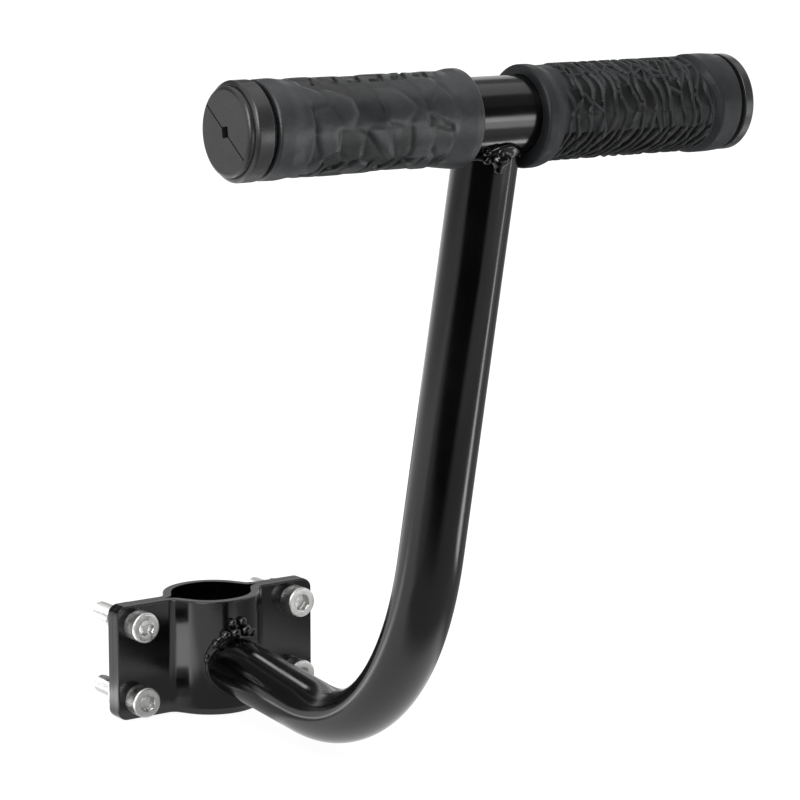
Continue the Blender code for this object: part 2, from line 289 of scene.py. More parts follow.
def paint_material():
    """Black gloss paint with a faint orange peel."""
    n = Nodes("black_gloss_paint")
    blotch = n.span(n.noise(45, 3), 0, 1)
    n.set("Base Color", n.mix(blotch, (0.0006, 0.0006, 0.0007), (0.0016, 0.0016, 0.0018)))
    n.set("Roughness", n.span(n.noise(70, 4), 0.12, 0.19))
    n.set("IOR", 1.52)
    peel = n.math("ADD", n.noise(420, 1), n.math("MULTIPLY", n.noise(1500, 1), 0.35))
    n.bump(peel, 0.02 * MM, 0.5)
    return n.mat


def zinc_material(name, tone):
    """Bright zinc plate, slightly cloudy."""
    n = Nodes(name)
    cloud = n.span(n.noise(260, 4), 0, 1)
    n.set("Base Color", n.mix(cloud, (tone * 0.86, tone * 0.86, tone * 0.84), (tone, tone, tone * 0.99)))
    n.set("Metallic", 1.0)
    n.set("Roughness", n.span(n.noise(380, 5, 0.6), 0.24, 0.42))
    n.bump(n.noise(1800, 3), 0.03 * MM, 0.4)
    return n.mat


def rubber_material(name, low, high, valley_shade, rough, specular):
    """Soft rubber with painted shade: darker in the relief's valleys, from a tone attribute on the mesh.
    """
    n = Nodes(name)
    relief_and_shade = n.add("Attribute", attribute_name="relief_and_shade").outputs["Fac"]
    raised = n.mix(n.span(n.noise(150, 4, 0.6), 0, 1), low, high)
    # painted shade: the valley colour is mixed in where the mesh's tone is low
    n.set("Base Color", n.mix(relief_and_shade, valley_shade, raised))
    n.set("Roughness", n.span(n.noise(260, 4), rough - 0.07, rough + 0.09))
    n.set("Specular IOR Level", specular)
    grain = n.math("ADD", n.noise(2600, 2), n.math("MULTIPLY", n.noise(520, 3), 1.6))
    n.bump(grain, 0.07 * MM, 0.6)
    return n.mat


def plastic_material(name, low, high, rough):
    """Moulded plug material, smoother than the grips."""
    n = Nodes(name)
    n.set("Base Color", n.mix(n.span(n.noise(120, 4, 0.55), 0, 1), low, high))
    n.set("Roughness", n.span(n.noise(300, 4), rough - 0.04, rough + 0.05))
    n.bump(n.noise(2600, 2), 0.03 * MM, 0.5)
    return n.mat


PAINT = paint_material()
ZINC = zinc_material("zinc_screw", 0.66)
ZINC_NUT = zinc_material("zinc_nut", 0.62)
RUBBER_LEFT = rubber_material(
    "grip_rubber_left", low=(0.017, 0.0188, 0.0204), high=(0.029, 0.0322, 0.035),
    valley_shade=(0.004, 0.005, 0.006), rough=0.38, specular=0.5)
RUBBER_RIGHT = rubber_material(
    "grip_rubber_right", low=(0.016, 0.0178, 0.0196), high=(0.027, 0.0298, 0.0325),
    valley_shade=(0.0008, 0.001, 0.0014), rough=0.46, specular=0.24)
PLASTIC = plastic_material("plug_rubber", (0.020, 0.020, 0.021), (0.027, 0.027, 0.028), 0.27)


# ---------------------------------------------------------------- saddle clamp

def saddle_stations():
    """Mid-line of a bent plate as (x, y, normal x, normal y), from -X to +X, for the front one:
    flange, fillet, a short straight flank and the round."""
    mean_y = -(SPLIT + SHEET / 2)
    mean_r = BORE_R + SHEET / 2
    fillet_r = BEND_R + SHEET / 2
    swing = HALF_ROUND
    flank = (mean_r * math.cos(swing) + mean_y) / math.sin(swing)
    corner_x = -mean_r * math.sin(swing) - flank * math.cos(swing)
    tangent = fillet_r * math.tan(swing / 2)
    fillet_x, fillet_y = corner_x - tangent, mean_y - fillet_r
    edge = OUTER_EDGE
    half = []
    for k in range(5):                                   # rounded outer edge
        half.append((-PLATE_W / 2 + edge * (1 - math.cos(math.pi / 2 * k / 4)), mean_y, 0, 1))
    for k in range(1, 9):                                # rounded corner
        turn = math.pi / 2 * k / 8
        half.append((-PLATE_W / 2 + edge + (CORNER_R - edge) * (1 - math.cos(turn)), mean_y, 0, 1))
    for k in range(1, 6):                                # flange
        t = k / 6
        half.append(((-PLATE_W / 2 + CORNER_R) * (1 - t) + fillet_x * t, mean_y, 0, 1))
    for k in range(15):                                  # fillet
        a = math.pi / 2 - swing * k / 14
        nx, ny = math.cos(a), math.sin(a)
        half.append((fillet_x + fillet_r * nx, fillet_y + fillet_r * ny, nx, ny))
    for k in range(1, 4):                                # straight flank
        x, y, nx, ny = half[-1]
        step = (flank - tangent) / 4
        half.append((x + step * math.cos(swing), y - step * math.sin(swing), nx, ny))
    for k in range(29):                                  # round, to the plate's middle
        a = swing * (1 - k / 28)
        nx, ny = math.sin(a), math.cos(a)
        half.append((-mean_r * nx, -mean_r * ny, nx, ny))
    other = [(-x, y, -nx, ny) for x, y, nx, ny in reversed(half[:-1])]
    return half + other


def plate_section(front, back, high, edge):
    """Rounded rectangle as (across, up) pairs, anticlockwise seen from +X with across along -Y.
    The front edges are rounded, those on the mating face nearly sharp."""
    steps = 4
    out = []
    for sx, sz, start in ((1, 1, 0), (-1, 1, 1), (-1, -1, 2), (1, -1, 3)):
        face, e = (front, edge) if sx > 0 else (back, MATING_EDGE)
        for k in range(steps + 1):
            a = math.pi / 2 * (start + k / steps)
            out.append((sx * (face - e) + e * math.cos(a), sz * (high - e) + e * math.sin(a)))
    return out


def saddle(name, facing, node, body):
    """One bent plate.  facing is 1 for the front plate and -1 for the rear one."""
    edge = OUTER_EDGE
    least_edge = 0.02 * MM
    rings = []
    for x, y, nx, ny in saddle_stations():
        from_end = PLATE_W / 2 - abs(x)
        inset = 0.0
        if from_end < edge:
            inset = edge - math.sqrt(max(0.0, edge ** 2 - (edge - from_end) ** 2))
        high = PLATE_H / 2
        if from_end < CORNER_R:
            high += math.sqrt(max(0.0, CORNER_R ** 2 - (CORNER_R - from_end) ** 2)) - CORNER_R
        back = SHEET / 2 + PAINT_SPLIT * max(0.0, ny) ** 12     # on the flanges only
        ring = []
        for across, up in plate_section(SHEET / 2 - inset, back, high - inset * 0.6,
                                        max(edge - inset, least_edge)):
            ring.append(((x - nx * across), (y - ny * across) * facing, up))
        rings.append(ring if facing > 0 else ring[::-1])
    obj = mesh_object(name, *skin(rings), PAINT)
    reach = 20 * MM                                      # each drill runs this far both ways
    tools = []
    for sx in (-1, 1):
        for sz in (-1, 1):
            spot = Vector((sx * SCREW_X, -facing * reach, sz * SCREW_Z))
            rod = turned([(0, HOLE_R), (2 * reach, HOLE_R)], spot, Y * facing, Z, 48)
            tools.append(mesh_object("drill", *rod, PAINT))
    cut(obj, tools)
    flat_shading(obj)
    show(obj, body, "black_paint", node)


saddle("shown_front_saddle", 1, "front_saddle", "handle")
saddle("shown_rear_saddle", -1, "rear_saddle", "rear_saddle")


# ---------------------------------------------------------------- screws and nuts

def circle(radius):
    return lambda angle: radius


def hexagon(across_flats, shrink=1.0):
    def radius(angle):
        off_flat = (angle % (math.pi / 3)) - math.pi / 6
        return across_flats / 2 / math.cos(off_flat) * shrink
    return radius


def knurled(depth):
    return lambda angle: HEAD_R - depth * (0.5 + 0.5 * math.cos(KNURLS * angle))


def screw_head():
    """Rings from the bottom of the hexagon socket over the rounded, knurled head to its seat."""
    under = -FLANGE_FACE
    top = under - HEAD_L
    socket = hexagon(SOCKET_AF)
    rows = [
        (top + 3.6 * MM, circle(0.02 * MM)),             # drill point of the socket
        (top + 3.0 * MM, hexagon(SOCKET_AF, 0.93)),
        (top + 2.98 * MM, socket),
        (top + 0.35 * MM, socket),
        (top + 0.08 * MM, lambda a: max(socket(a), 2.78 * MM)),     # countersink of the socket
        (top, circle(2.98 * MM)),
        (top, circle(3.1 * MM)),
        (top, circle(HEAD_R - 0.9 * MM)),
    ]
    for k in range(6):
        swing = math.pi / 2 * k / 5
        rows.append((top + HEAD_ROUND * (1 - math.cos(swing)),
                     circle(HEAD_R - HEAD_ROUND * (1 - math.sin(swing)))))
    rows += [
        (top + 0.9 * MM, knurled(0.0)),
        (top + 1.1 * MM, knurled(0.12 * MM)),
        (under - 0.7 * MM, knurled(0.12 * MM)),
        (under - 0.5 * MM, knurled(0.0)),
        (under - 0.1 * MM, circle(HEAD_R - 0.02 * MM)),
        (under, circle(HEAD_R - 0.15 * MM)),
    ]
    return spun(rows, 120)


def screw_shank():
    """Rings of a shank with a helical thread cut all along it and a chamfered tip."""
    sides = 40
    steps = 8                                            # rings for each turn of the thread
    chamfer = 0.8 * MM
    under = -FLANGE_FACE
    tip = -(FLANGE_FACE + CAD_GAP) + SHANK_L
    ys = np.arange(0, int((tip - under) / PITCH * steps) + 1) * PITCH / steps + under
    ys = np.append(ys, tip)
    spin = np.linspace(0, 2 * math.pi, sides, endpoint=False)
    yy, aa = np.meshgrid(ys, spin, indexing="ij")
    phase = (yy / PITCH - aa / (2 * math.pi)) % 1.0
    tooth = np.clip(np.abs(phase - 0.5) * 2.3 - 0.12, 0, 1)     # 0 at the root and 1 on the crest
    radius = THREAD_R - THREAD_DEPTH * (1 - tooth)
    radius = np.minimum(radius, THREAD_R - chamfer + np.clip(tip - yy, 0, chamfer))
    return np.stack([radius * np.sin(aa), yy, radius * np.cos(aa)], -1)


def screw_mesh():
    """Socket head cap screw along +Y about the origin."""
    head_verts, head_faces = skin(screw_head(), caps=False)
    shank = screw_shank()
    sides = shank.shape[1]
    verts, faces = skin(shank, caps=False)
    faces.append(list(range(verts.shape[0] - sides, verts.shape[0])))
    base = len(head_verts)
    return np.concatenate([head_verts, verts]), head_faces + [[base + i for i in f] for f in faces]


def nut_mesh():
    """Chamfered hexagon nut about the Y axis.  Its bore lies inside the screw's thread."""
    near, far = FLANGE_FACE, FLANGE_FACE + NUT_T
    hexagonal = hexagon(NUT_AF)

    def chamfered(depth):
        cone = NUT_AF / 2 - 0.25 * MM + depth / math.tan(math.radians(30))
        return lambda a: min(hexagonal(a), cone)

    depths = [s * MM for s in (0, 0.08, 0.16, 0.25, 0.35, 0.45, 0.55)]
    mouth, bore = circle(3.05 * MM), circle(2.6 * MM)
    rows = [(near + 0.4 * MM, bore), (near, mouth)]
    rows += [(near + depth, chamfered(depth)) for depth in depths]
    rows += [(far - depth, chamfered(depth)) for depth in reversed(depths)]
    rows += [(far, mouth), (far - 0.4 * MM, bore)]
    return skin(spun(rows, 96), closed=True)


def fasteners():
    """The four screws and nuts, each turned to an angle of its own."""
    kinds = (("screw", screw_mesh(), ZINC, "zinc_screw"), ("nut", nut_mesh(), ZINC_NUT, "zinc_nut"))
    for level, sz in (("upper", 1), ("lower", -1)):
        for side, sx in (("left", -1), ("right", 1)):
            place = f"{level}_{side}"
            spin = random.Random(place).uniform(0, math.pi / 3)
            turn = Matrix.Rotation(spin, 4, "Y")
            for kind, data, mat, slot in kinds:
                piece = mesh_object(f"shown_{kind}_{place}", *data, mat, 30)
                piece.data.transform(Matrix.Translation((sx * SCREW_X, 0, sz * SCREW_Z)) @ turn)
                show(piece, f"{kind}_{place}", slot, f"{kind}_{place}")


fasteners()


# ---------------------------------------------------------------- arm

def arm_directions():
    out = Vector((0, -math.cos(ARM_FALL), -math.sin(ARM_FALL)))
    up = Vector((0, -math.sin(ARM_LEAN), math.cos(ARM_LEAN)))
    return out, up


def bend_radius(share):
    """Radius at a share of the whole bend's angle."""
    opening = BEND_OPENING * (share - 0.5)
    ease = BEND_EASE * ((2 * share - 1) ** 2 - 1 / 3)
    return BEND_MEAN * (1 + opening + ease)


def arm_path():
    """Stations along the arm's axis as (point, direction, flattening): a straight, a bend whose
    radius changes, and a straight up to the cross-bar.  The tube is flattest in mid-bend."""
    out, up = arm_directions()
    side = (up - out * up.dot(out)).normalized()
    total = out.angle(up)

    def heading(share):
        return out * math.cos(total * share) + side * math.sin(total * share)

    steps, fine = 80, 6                                  # one bend step is added up from fine ones
    bend = [(Vector((0, 0, 0)), out, 0.0)]
    for k in range(steps):
        point = bend[-1][0].copy()
        for j in range(fine):
            share = (k + (j + 0.5) / fine) / steps
            point += heading(share) * bend_radius(share) * total / (steps * fine)
        share = (k + 1) / steps
        bend.append((point, heading(share), share))
    start = Vector((0, 0, ARM_Z))
    # the first straight's length is solved so that the last one ends on the cross-bar's axis
    rest = BAR_MID - start - bend[-1][0]
    first = (rest.y * up.z - rest.z * up.y) / (out.y * up.z - out.z * up.y)
    base = start + out * first
    top = base + bend[-1][0]
    last = (BAR_MID - top).length
    stations = []
    for share in (k / 12 for k in range(12)):
        along = ROUND_START + (first - ROUND_START) * share
        stations.append((start + out * along, out, RUN_OUT * (share - 1)))
    stations += [(base + point, direction, share) for point, direction, share in bend]
    for share in (k / 24 for k in range(1, 25)):
        along = (last - ROUND_END) * share
        stations.append((top + up * along, up, 1 + RUN_OUT * share))
    span = 1 + 2 * RUN_OUT
    return [(p, d, FLATTENING * math.cos(math.pi * (s - 0.5) / span)) for p, d, s in stations]


def arm():
    """The tube's outside, from within the saddle's wall to within the bar's wall."""
    angles = full_turn(96)
    out, up = arm_directions()

    def spoke(heading, a):
        return X * math.cos(a) + heading.cross(X) * math.sin(a)

    mouth, top = [], []
    for a in angles:
        radial = spoke(out, a)
        flat = math.sqrt((SADDLE_R - SADDLE_SINK) ** 2 - (ARM_R * math.cos(a)) ** 2)
        along = (flat + ARM_R * radial.y) / math.cos(ARM_FALL)
        mouth.append(Vector((0, 0, ARM_Z)) + out * along + radial * ARM_R)
        down = math.sqrt((BAR_R - BAR_SINK) ** 2 - (ARM_R * math.sin(a)) ** 2)
        top.append(BAR_MID - up * down + spoke(up, a) * ARM_R)
    rings = [mouth]
    for point, heading, flat in arm_path():
        v = heading.cross(X)
        rings.append([point + X * math.cos(a) * ARM_R * (1 + flat)
                      + v * math.sin(a) * ARM_R * (1 - flat) for a in angles])
    rings.append(top)
    obj = mesh_object("shown_arm_tube", *skin(rings, caps=False), PAINT)
    show(obj, "handle", "black_paint", "arm_tube")


arm()


# ---------------------------------------------------------------- weld beads

def balls(name, places, subdivisions):
    """One object of overlapping balls at (centre, radius) places."""
    bm = bmesh.new()
    for centre, radius in places:
        bmesh.ops.create_icosphere(bm, subdivisions=subdivisions, radius=radius,
                                   matrix=Matrix.Translation(centre))
    mesh = bpy.data.meshes.new(name)
    bm.to_mesh(mesh)
    bm.free()
    mesh.materials.append(PAINT)
    obj = bpy.data.objects.new(name, mesh)
    bpy.context.scene.collection.objects.link(obj)
    return obj


def weld_metal(name, body, drops):
    """A smooth heap melted from the body's balls, with crisp drops set into it."""
    heap = balls(name, body, 2)
    melt = heap.modifiers.new("melt", "REMESH")
    melt.mode = "VOXEL"
    melt.voxel_size = 0.25 * MM
    settle = heap.modifiers.new("settle", "SMOOTH")
    settle.factor = 0.5
    settle.iterations = 24
    baked(heap)
    loose = balls(name, drops, 4)
    bm = bmesh.new()
    bm.from_mesh(heap.data)
    bm.from_mesh(loose.data)
    bm.to_mesh(heap.data)
    bm.free()
    bpy.data.objects.remove(loose)
    heap.data.shade_smooth()
    return heap


def arm_bead():
    """A smooth fillet of weld metal round the arm, with drops piled up over its top."""
    rng = random.Random(7)
    out, _ = arm_directions()
    over = out.cross(X)
    origin = Vector((0, 0, ARM_Z))

    def joint(turn, reach):
        """Point on the saddle's face, reach mm beyond the tube at the angle turn in degrees."""
        a = math.radians(turn)
        radial = X * math.cos(a) + over * math.sin(a)
        r = ARM_R + reach * MM
        flat = math.sqrt(max(SADDLE_R ** 2 - (r * math.cos(a)) ** 2, 1e-9))
        return origin + out * ((flat + r * radial.y) / math.cos(ARM_FALL)) + radial * r

    body, drops = [], []
    for turn in range(0, 360, 3):
        heap = max(0.0, math.cos(math.radians(turn - 92))) ** 1.5    # 1 over the tube, 0 below it
        body.append((joint(turn, 0.1), (0.8 + 0.7 * heap) * MM))
        if heap > 0.1:
            body.append((joint(turn, 0.2 + 1.9 * heap), 1.0 * MM))
    proud = 0.75 * MM
    # drops: angle round the tube in degrees, reach beyond it and radius, both in mm
    for turn, reach, size in ((132, 1.2, 1.45), (112, 2.1, 1.9), (95, 1.8, 2.0), (77, 2.4, 2.1),
                              (60, 2.3, 1.5), (98, 5.3, 1.5), (85, 5.3, 1.6), (158, 0.8, 0.9)):
        spot = joint(turn + rng.uniform(-1, 1), reach)
        lift = Vector((spot.x, spot.y, 0)).normalized() * proud
        drops.append((spot + lift, size * MM))
    obj = weld_metal("shown_arm_weld_bead", body, drops)
    show(obj, "handle", "black_paint", "arm_weld_bead")


def bar_bead():
    """Weld metal under the bar, run down the upright's front, with a few drops."""
    rng = random.Random(11)
    _, up = arm_directions()
    over = up.cross(X)

    def spot(turn, down, reach):
        """Point reach mm outside the upright, down mm below the bar's axis, at the angle turn."""
        a = math.radians(turn)
        radial = X * math.cos(a) + over * math.sin(a)
        return BAR_MID - up * down * MM + radial * (ARM_R + reach * MM)

    lowest = 10.4                                        # mm below the bar's axis, on the front
    body, drops = [], []
    for turn in range(0, 360, 3):
        a = math.radians(turn)
        joint = math.sqrt(BAR_R ** 2 - (ARM_R * math.sin(a)) ** 2) / MM
        front = max(0.0, math.cos(math.radians(turn - 246))) ** 1.6
        body.append((spot(turn, joint + 0.6, 0.0), (1.15 - 0.2 * math.cos(a) ** 2) * MM))
        if front > 0:
            for share in (0.25, 0.5, 0.75, 1.0):
                down = joint + (lowest - joint) * share * front
                body.append((spot(turn, down, -0.1), 0.9 * MM))
    # both lists: angle round the upright in degrees, distance below the bar's axis and radius in mm
    for turn, down, size in ((258, 10.6, 2.5), (264, 10.2, 2.4), (257, 12.9, 1.7)):
        body.append((spot(turn, down, 0.8 - 0.5 * size), size * MM))
    for turn, down, size in ((256, 7.9, 1.4), (234, 8.0, 1.45), (235, 10.4, 1.35)):
        drops.append((spot(turn + rng.uniform(-1, 1), down, 1.0 - 0.5 * size), size * MM))
    obj = weld_metal("shown_bar_weld_bead", body, drops)
    show(obj, "handle", "black_paint", "bar_weld_bead")


arm_bead()
bar_bead()


# ---------------------------------------------------------------- cross-bar

def cross_tube():
    """The bar between the grips and inside them."""
    inner, chamfer = 9.5 * MM, 0.3 * MM
    half = [(40 * MM, BAR_R), (BAR_HALF - chamfer, BAR_R), (BAR_HALF, BAR_R - chamfer),
            (BAR_HALF, inner)]
    profile = [(-x, r) for x, r in reversed(half)] + half
    obj = mesh_object("shown_cross_tube", *turned(profile, BAR_MID, X, Y, 128, True), PAINT)
    show(obj, "handle", "black_paint", "cross_tube")


cross_tube()


# ---------------------------------------------------------------- grips

# The grips are worked out in millimetres, on grids of a, the distance along the bar from its middle,
# and p, the angle round it, which is 0 where it faces -Y and a quarter turn on top.  s is p as a
# length.  Each relief gives a height and a tone that paints shade into it: 0 in a dark valley and 1 on a
# ridge.

class GripShape(NamedTuple):
    start: float                # where it starts and ends along the bar
    end: float
    collar: float               # radius of the collar at the inner end
    body: float                 # radius between the collar and the band
    band: float                 # radius of the band at the outer end
    sag: float                  # the collar reaches this much further underneath, and less on top
    cone: float                 # share by which the collar's flare is a cone and not a soft curve
    band_foot: float            # the band starts this far from the end
    rise: float                 # and takes this long to rise
    groove: float               # depth of the groove beside the band
    relief_foot: float          # the relief stops this far from the end
    slant: float                # how much nearer to the ends the relief and band reach on the front
    plain: float                # tone outside the relief


LEFT_GRIP = GripShape(start=12.0, end=79.0, collar=14.0, body=13.25, band=13.75, sag=0.15, cone=0.7,
                      band_foot=9.4, rise=5.0, groove=0.0, relief_foot=10.4, slant=0.0, plain=1.0)
RIGHT_GRIP = GripShape(start=9.7, end=81.2, collar=14.75, body=13.5, band=14.45, sag=0.75, cone=0.0,
                       band_foot=11.9, rise=2.0, groove=0.8, relief_foot=12.6, slant=3.0, plain=0.75)
RELIEF_HEAD = 8.5               # the relief starts this far from a grip's inner end
GRIP_BORE = 11.25               # radius
AROUND = 2 * math.pi * 13.5     # length round a grip that its relief is laid out on
RELIEF_LENGTH = 82              # length along a grip that its relief is laid out on


def smooth(x, low, high):
    """0 below low, 1 above high and a soft step in between."""
    t = np.clip((x - low) / (high - low), 0, 1)
    return t * t * (3 - 2 * t)


def towards(p, degrees, low, high):
    """1 where the grip faces an angle, from the cosine high on, and 0 from the cosine low on."""
    return smooth(np.cos(p - math.radians(degrees)), low, high)


def front(p):
    """1 where the grip faces forwards and a little down, and 0 from its top to its back."""
    return towards(p, -25, 0.3, 0.95)


def cells(seed, spacing_a, spacing_s):
    """Seed points (along, round) of a stretched cell pattern on the unrolled grip."""
    jitter = 0.36                                        # in spacings
    rng = random.Random(seed)
    across = max(3, round(AROUND / spacing_s))
    points = []
    for i in range(-1, int(RELIEF_LENGTH / spacing_a) + 2):
        for j in range(across):
            a = (i + 0.5 + rng.uniform(-jitter, jitter)) * spacing_a
            s = (j + 0.5 * (i % 2) + rng.uniform(-jitter, jitter)) * AROUND / across
            points.append((a, s))
    return points


def cell_field(a, s, points, scale_a, scale_s):
    """Distance to the nearest cell border, and the nearest cell's index, for grids a and s."""
    first = np.full(a.shape, 1e9)
    second = np.full(a.shape, 1e9)
    near = np.zeros(a.shape + (2,))
    far = np.zeros(a.shape + (2,))
    owner = np.zeros(a.shape, int)
    for i, (pa, ps) in enumerate(points):
        for wrap in (-AROUND, 0, AROUND):
            place = (pa, ps + wrap)
            d = ((a - pa) / scale_a) ** 2 + ((s - ps - wrap) / scale_s) ** 2
            nearest = d < first
            runner = ~nearest & (d < second)
            second = np.where(nearest, first, np.where(runner, d, second))
            far = np.where(nearest[..., None], near, np.where(runner[..., None], place, far))
            near = np.where(nearest[..., None], place, near)
            owner = np.where(nearest, i, owner)
            first = np.where(nearest, d, first)
    gap = (near - far) / (scale_a ** 2, scale_s ** 2)
    return (second - first) / (2 * np.hypot(gap[..., 0], gap[..., 1]) + 1e-9), owner


def rounding(depth, radius):
    """How far a rounded end face falls back at a depth behind it."""
    inside = np.clip(radius - depth, 0, radius)
    return radius - np.sqrt(np.maximum(radius ** 2 - inside ** 2, 0))


def grip_base(a, p, shape):
    """Plain radius: a collar that flares more underneath, a body and an end band."""
    below = 0.5 - 0.5 * np.sin(p)
    from_start, to_end = a - shape.start, shape.end - a
    straight = 2.6
    ramp = 6.0 + 4.5 * below
    share = np.clip((from_start - straight) / (ramp - straight), 0, 1)
    flare = (1 - shape.cone) * share * share * (3 - 2 * share) + shape.cone * share
    r = shape.body + (shape.collar + shape.sag * (2 * below - 1) - shape.body) * (1 - flare)
    r = r - rounding(from_start, 0.8)
    foot = shape.band_foot - shape.slant * front(p)
    r = r - shape.groove * np.exp(-((foot - to_end) / 0.75) ** 2)
    worn_end = 1 - 0.25 * smooth(-to_end, -5, 0)
    r = r + (shape.band - shape.body) * smooth(-to_end, -foot, shape.rise - foot) * worn_end
    return r - rounding(to_end, 0.9)


def right_relief(a, p, s):
    """Thin branching ridges round the grip, a net of them on top and slanted cuts underneath."""
    wave = 0.8 * np.sin(3 * p + a / 9) + 0.5 * np.sin(7 * p - a / 5)
    gap, _ = cell_field(a + wave, s, cells(5, 3.7, 19), 3.7, 19)
    long_ridge = 1 - smooth(gap, 0.25, 0.8)
    net_gap, _ = cell_field(a + wave, s, cells(8, 5.2, 7.5), 5.2, 7.5)
    net = 1 - smooth(net_gap, 0.2, 0.6)
    ridge = np.maximum(long_ridge, towards(p, 72, 0.72, 0.9) * net)
    worn = smooth(np.sin(a * 0.9 + 3 * np.sin(2 * p)) + np.sin(s * 0.55 + a * 0.35), -0.9, 0.8)
    middle = towards(p, -14, 0.75, 0.97)
    ridge = ridge * (1 - 0.6 * middle * worn)
    lumps = np.sin(a * 1.15 + 2 * np.sin(s * 0.4)) * np.sin(s * 0.75 + 0.7 * np.sin(a * 0.5))
    lumps = 0.5 + 0.5 * lumps
    height = 0.68 * ridge - 0.26 + middle * 0.2 * lumps
    low = towards(p, -50, 0.86, 0.94)
    slant = a - 0.5 * (s + AROUND * 52 / 360)
    cuts = smooth(np.sin(slant * 2 * math.pi / 3.3 + 0.9 * np.sin(a * 0.7)), 0.0, 0.5)
    height = height * (1 - 0.6 * low) - low * cuts
    # Tone is painted light: shade in the valleys and in the cuts underneath, and painted reflection in
    # patches over the lumps on the forward band.
    tone = np.clip(0.06 + 0.94 * ridge + 0.5 * middle * (lumps - 0.35), 0, 1)
    return height, tone * (1 - low * cuts)


def left_relief(a, p, s):
    """Low slanted patches, with short cuts along the top and the underside."""
    pitch = 7.4                                          # length of a patch along the bar
    lead = round(0.35 * AROUND / pitch) * pitch / AROUND    # whole patches in one turn
    slant = a - lead * s + 1.2 * np.sin(2 * p)
    gap, owner = cell_field(np.mod(slant, 10 * pitch), s, cells(9, pitch, 10.5), pitch, 10.5)
    level = np.random.default_rng(3).uniform(-1, 1, owner.max() + 1)[owner]
    patch = level - 0.5 * (1 - smooth(gap, 0.2, 1.1))
    for _ in range(14):                                  # soften the patches' borders
        patch = (patch + np.roll(patch, 1, 0) + np.roll(patch, -1, 0) + np.roll(patch, 1, 1)
                 + np.roll(patch, -1, 1)) / 5
    cut = np.zeros(a.shape)
    for degrees, spacing in ((-56, 5.6), (78, 7.2)):     # underneath and on top
        wave = np.sin((a + 0.6 * s) * 2 * math.pi / spacing + 1.3 * np.sin(a * 0.8))
        cut = np.maximum(cut, towards(p, degrees, 0.965, 0.99) * smooth(wave, 0.35, 0.75))
    # Tone follows the patches' height and is darker where they lie lower. The cuts are painted black as
    # shade.
    tone = np.clip(0.42 + 0.62 * patch, 0, 1)
    return 0.38 * patch - 0.8 * cut, tone * (1 - cut)


def grip(name, side, shape, relief_and_shade, mat, node):
    """side is 1 for the right grip and -1 for the left one."""
    sides = 360
    start, end = shape.start, shape.end
    psi = np.arange(sides) / sides * 2 * math.pi
    from_start = np.array([0, 0.01, 0.05, 0.12, 0.25, 0.42, 0.6, 0.8])     # rings on the rounded ends
    from_end = np.array([0.9, 0.66, 0.45, 0.27, 0.13, 0.05, 0.01, 0.0])
    between = np.linspace(start + 1.0, end - 1.1, 300)
    a, p = np.meshgrid(np.concatenate([start + from_start, between, end - from_end]), psi,
                       indexing="ij")
    height, tone = relief_and_shade(a, p, p / (2 * math.pi) * AROUND)
    tilt = shape.slant * front(p)
    first, last = start + RELIEF_HEAD - tilt, end - shape.relief_foot + tilt
    field = smooth(a, first, first + 2.6) * (1 - smooth(a, last - 1.2, last))
    radius = grip_base(a, p, shape) + field * height
    tone = shape.plain + (tone - shape.plain) * field
    rings = np.stack([side * a, -radius * np.cos(p), radius * np.sin(p)], -1)
    bore = [np.stack([np.full(sides, side * x), -r * np.cos(psi), r * np.sin(psi)], -1)
            for x, r in ((end, 11.9), (end - 0.8, GRIP_BORE), (start, GRIP_BORE), (start, 12.4))]
    rings = np.concatenate([rings, np.array(bore)]) * MM + np.array(BAR_MID)
    # Painted shade: the bore's rings get a low tone, so each end face darkens towards the bore.
    shade_tones = np.concatenate([tone, np.full((len(bore), sides), 0.4)])
    if side > 0:                                         # keeps the faces turned outwards
        rings, shade_tones = rings[:, ::-1], shade_tones[:, ::-1]
    obj = mesh_object(name, *skin(rings, closed=True), mat, 60)
    # The tone goes on the mesh as an attribute that carries the rubber's painted shade.
    attribute = obj.data.attributes.new("relief_and_shade", "FLOAT", "POINT")
    attribute.data.foreach_set("value", shade_tones.ravel().astype(np.float32))
    show(obj, "handle", "grip_rubber", node)


grip("shown_left_grip", -1, LEFT_GRIP, left_relief, RUBBER_LEFT, "left_grip")
grip("shown_right_grip", 1, RIGHT_GRIP, right_relief, RUBBER_RIGHT, "right_grip")


# ---------------------------------------------------------------- end plugs

class PlugShape(NamedTuple):
    """Millimetres along the bar from its middle, and two radii."""
    neck: float                 # where the stem ends and the neck begins
    flange: float               # where the neck ends and the flange begins
    rim: float                  # where the flange ends and the boss stands out
    end: float
    band: float                 # the flange's radius
    boss: float                 # the boss's radius


LEFT_PLUG = PlugShape(neck=78.7, flange=80.8, rim=86.3, end=88.0, band=13.75, boss=12.3)
RIGHT_PLUG = PlugShape(neck=80.9, flange=82.5, rim=86.1, end=87.3, band=14.1, boss=12.5)


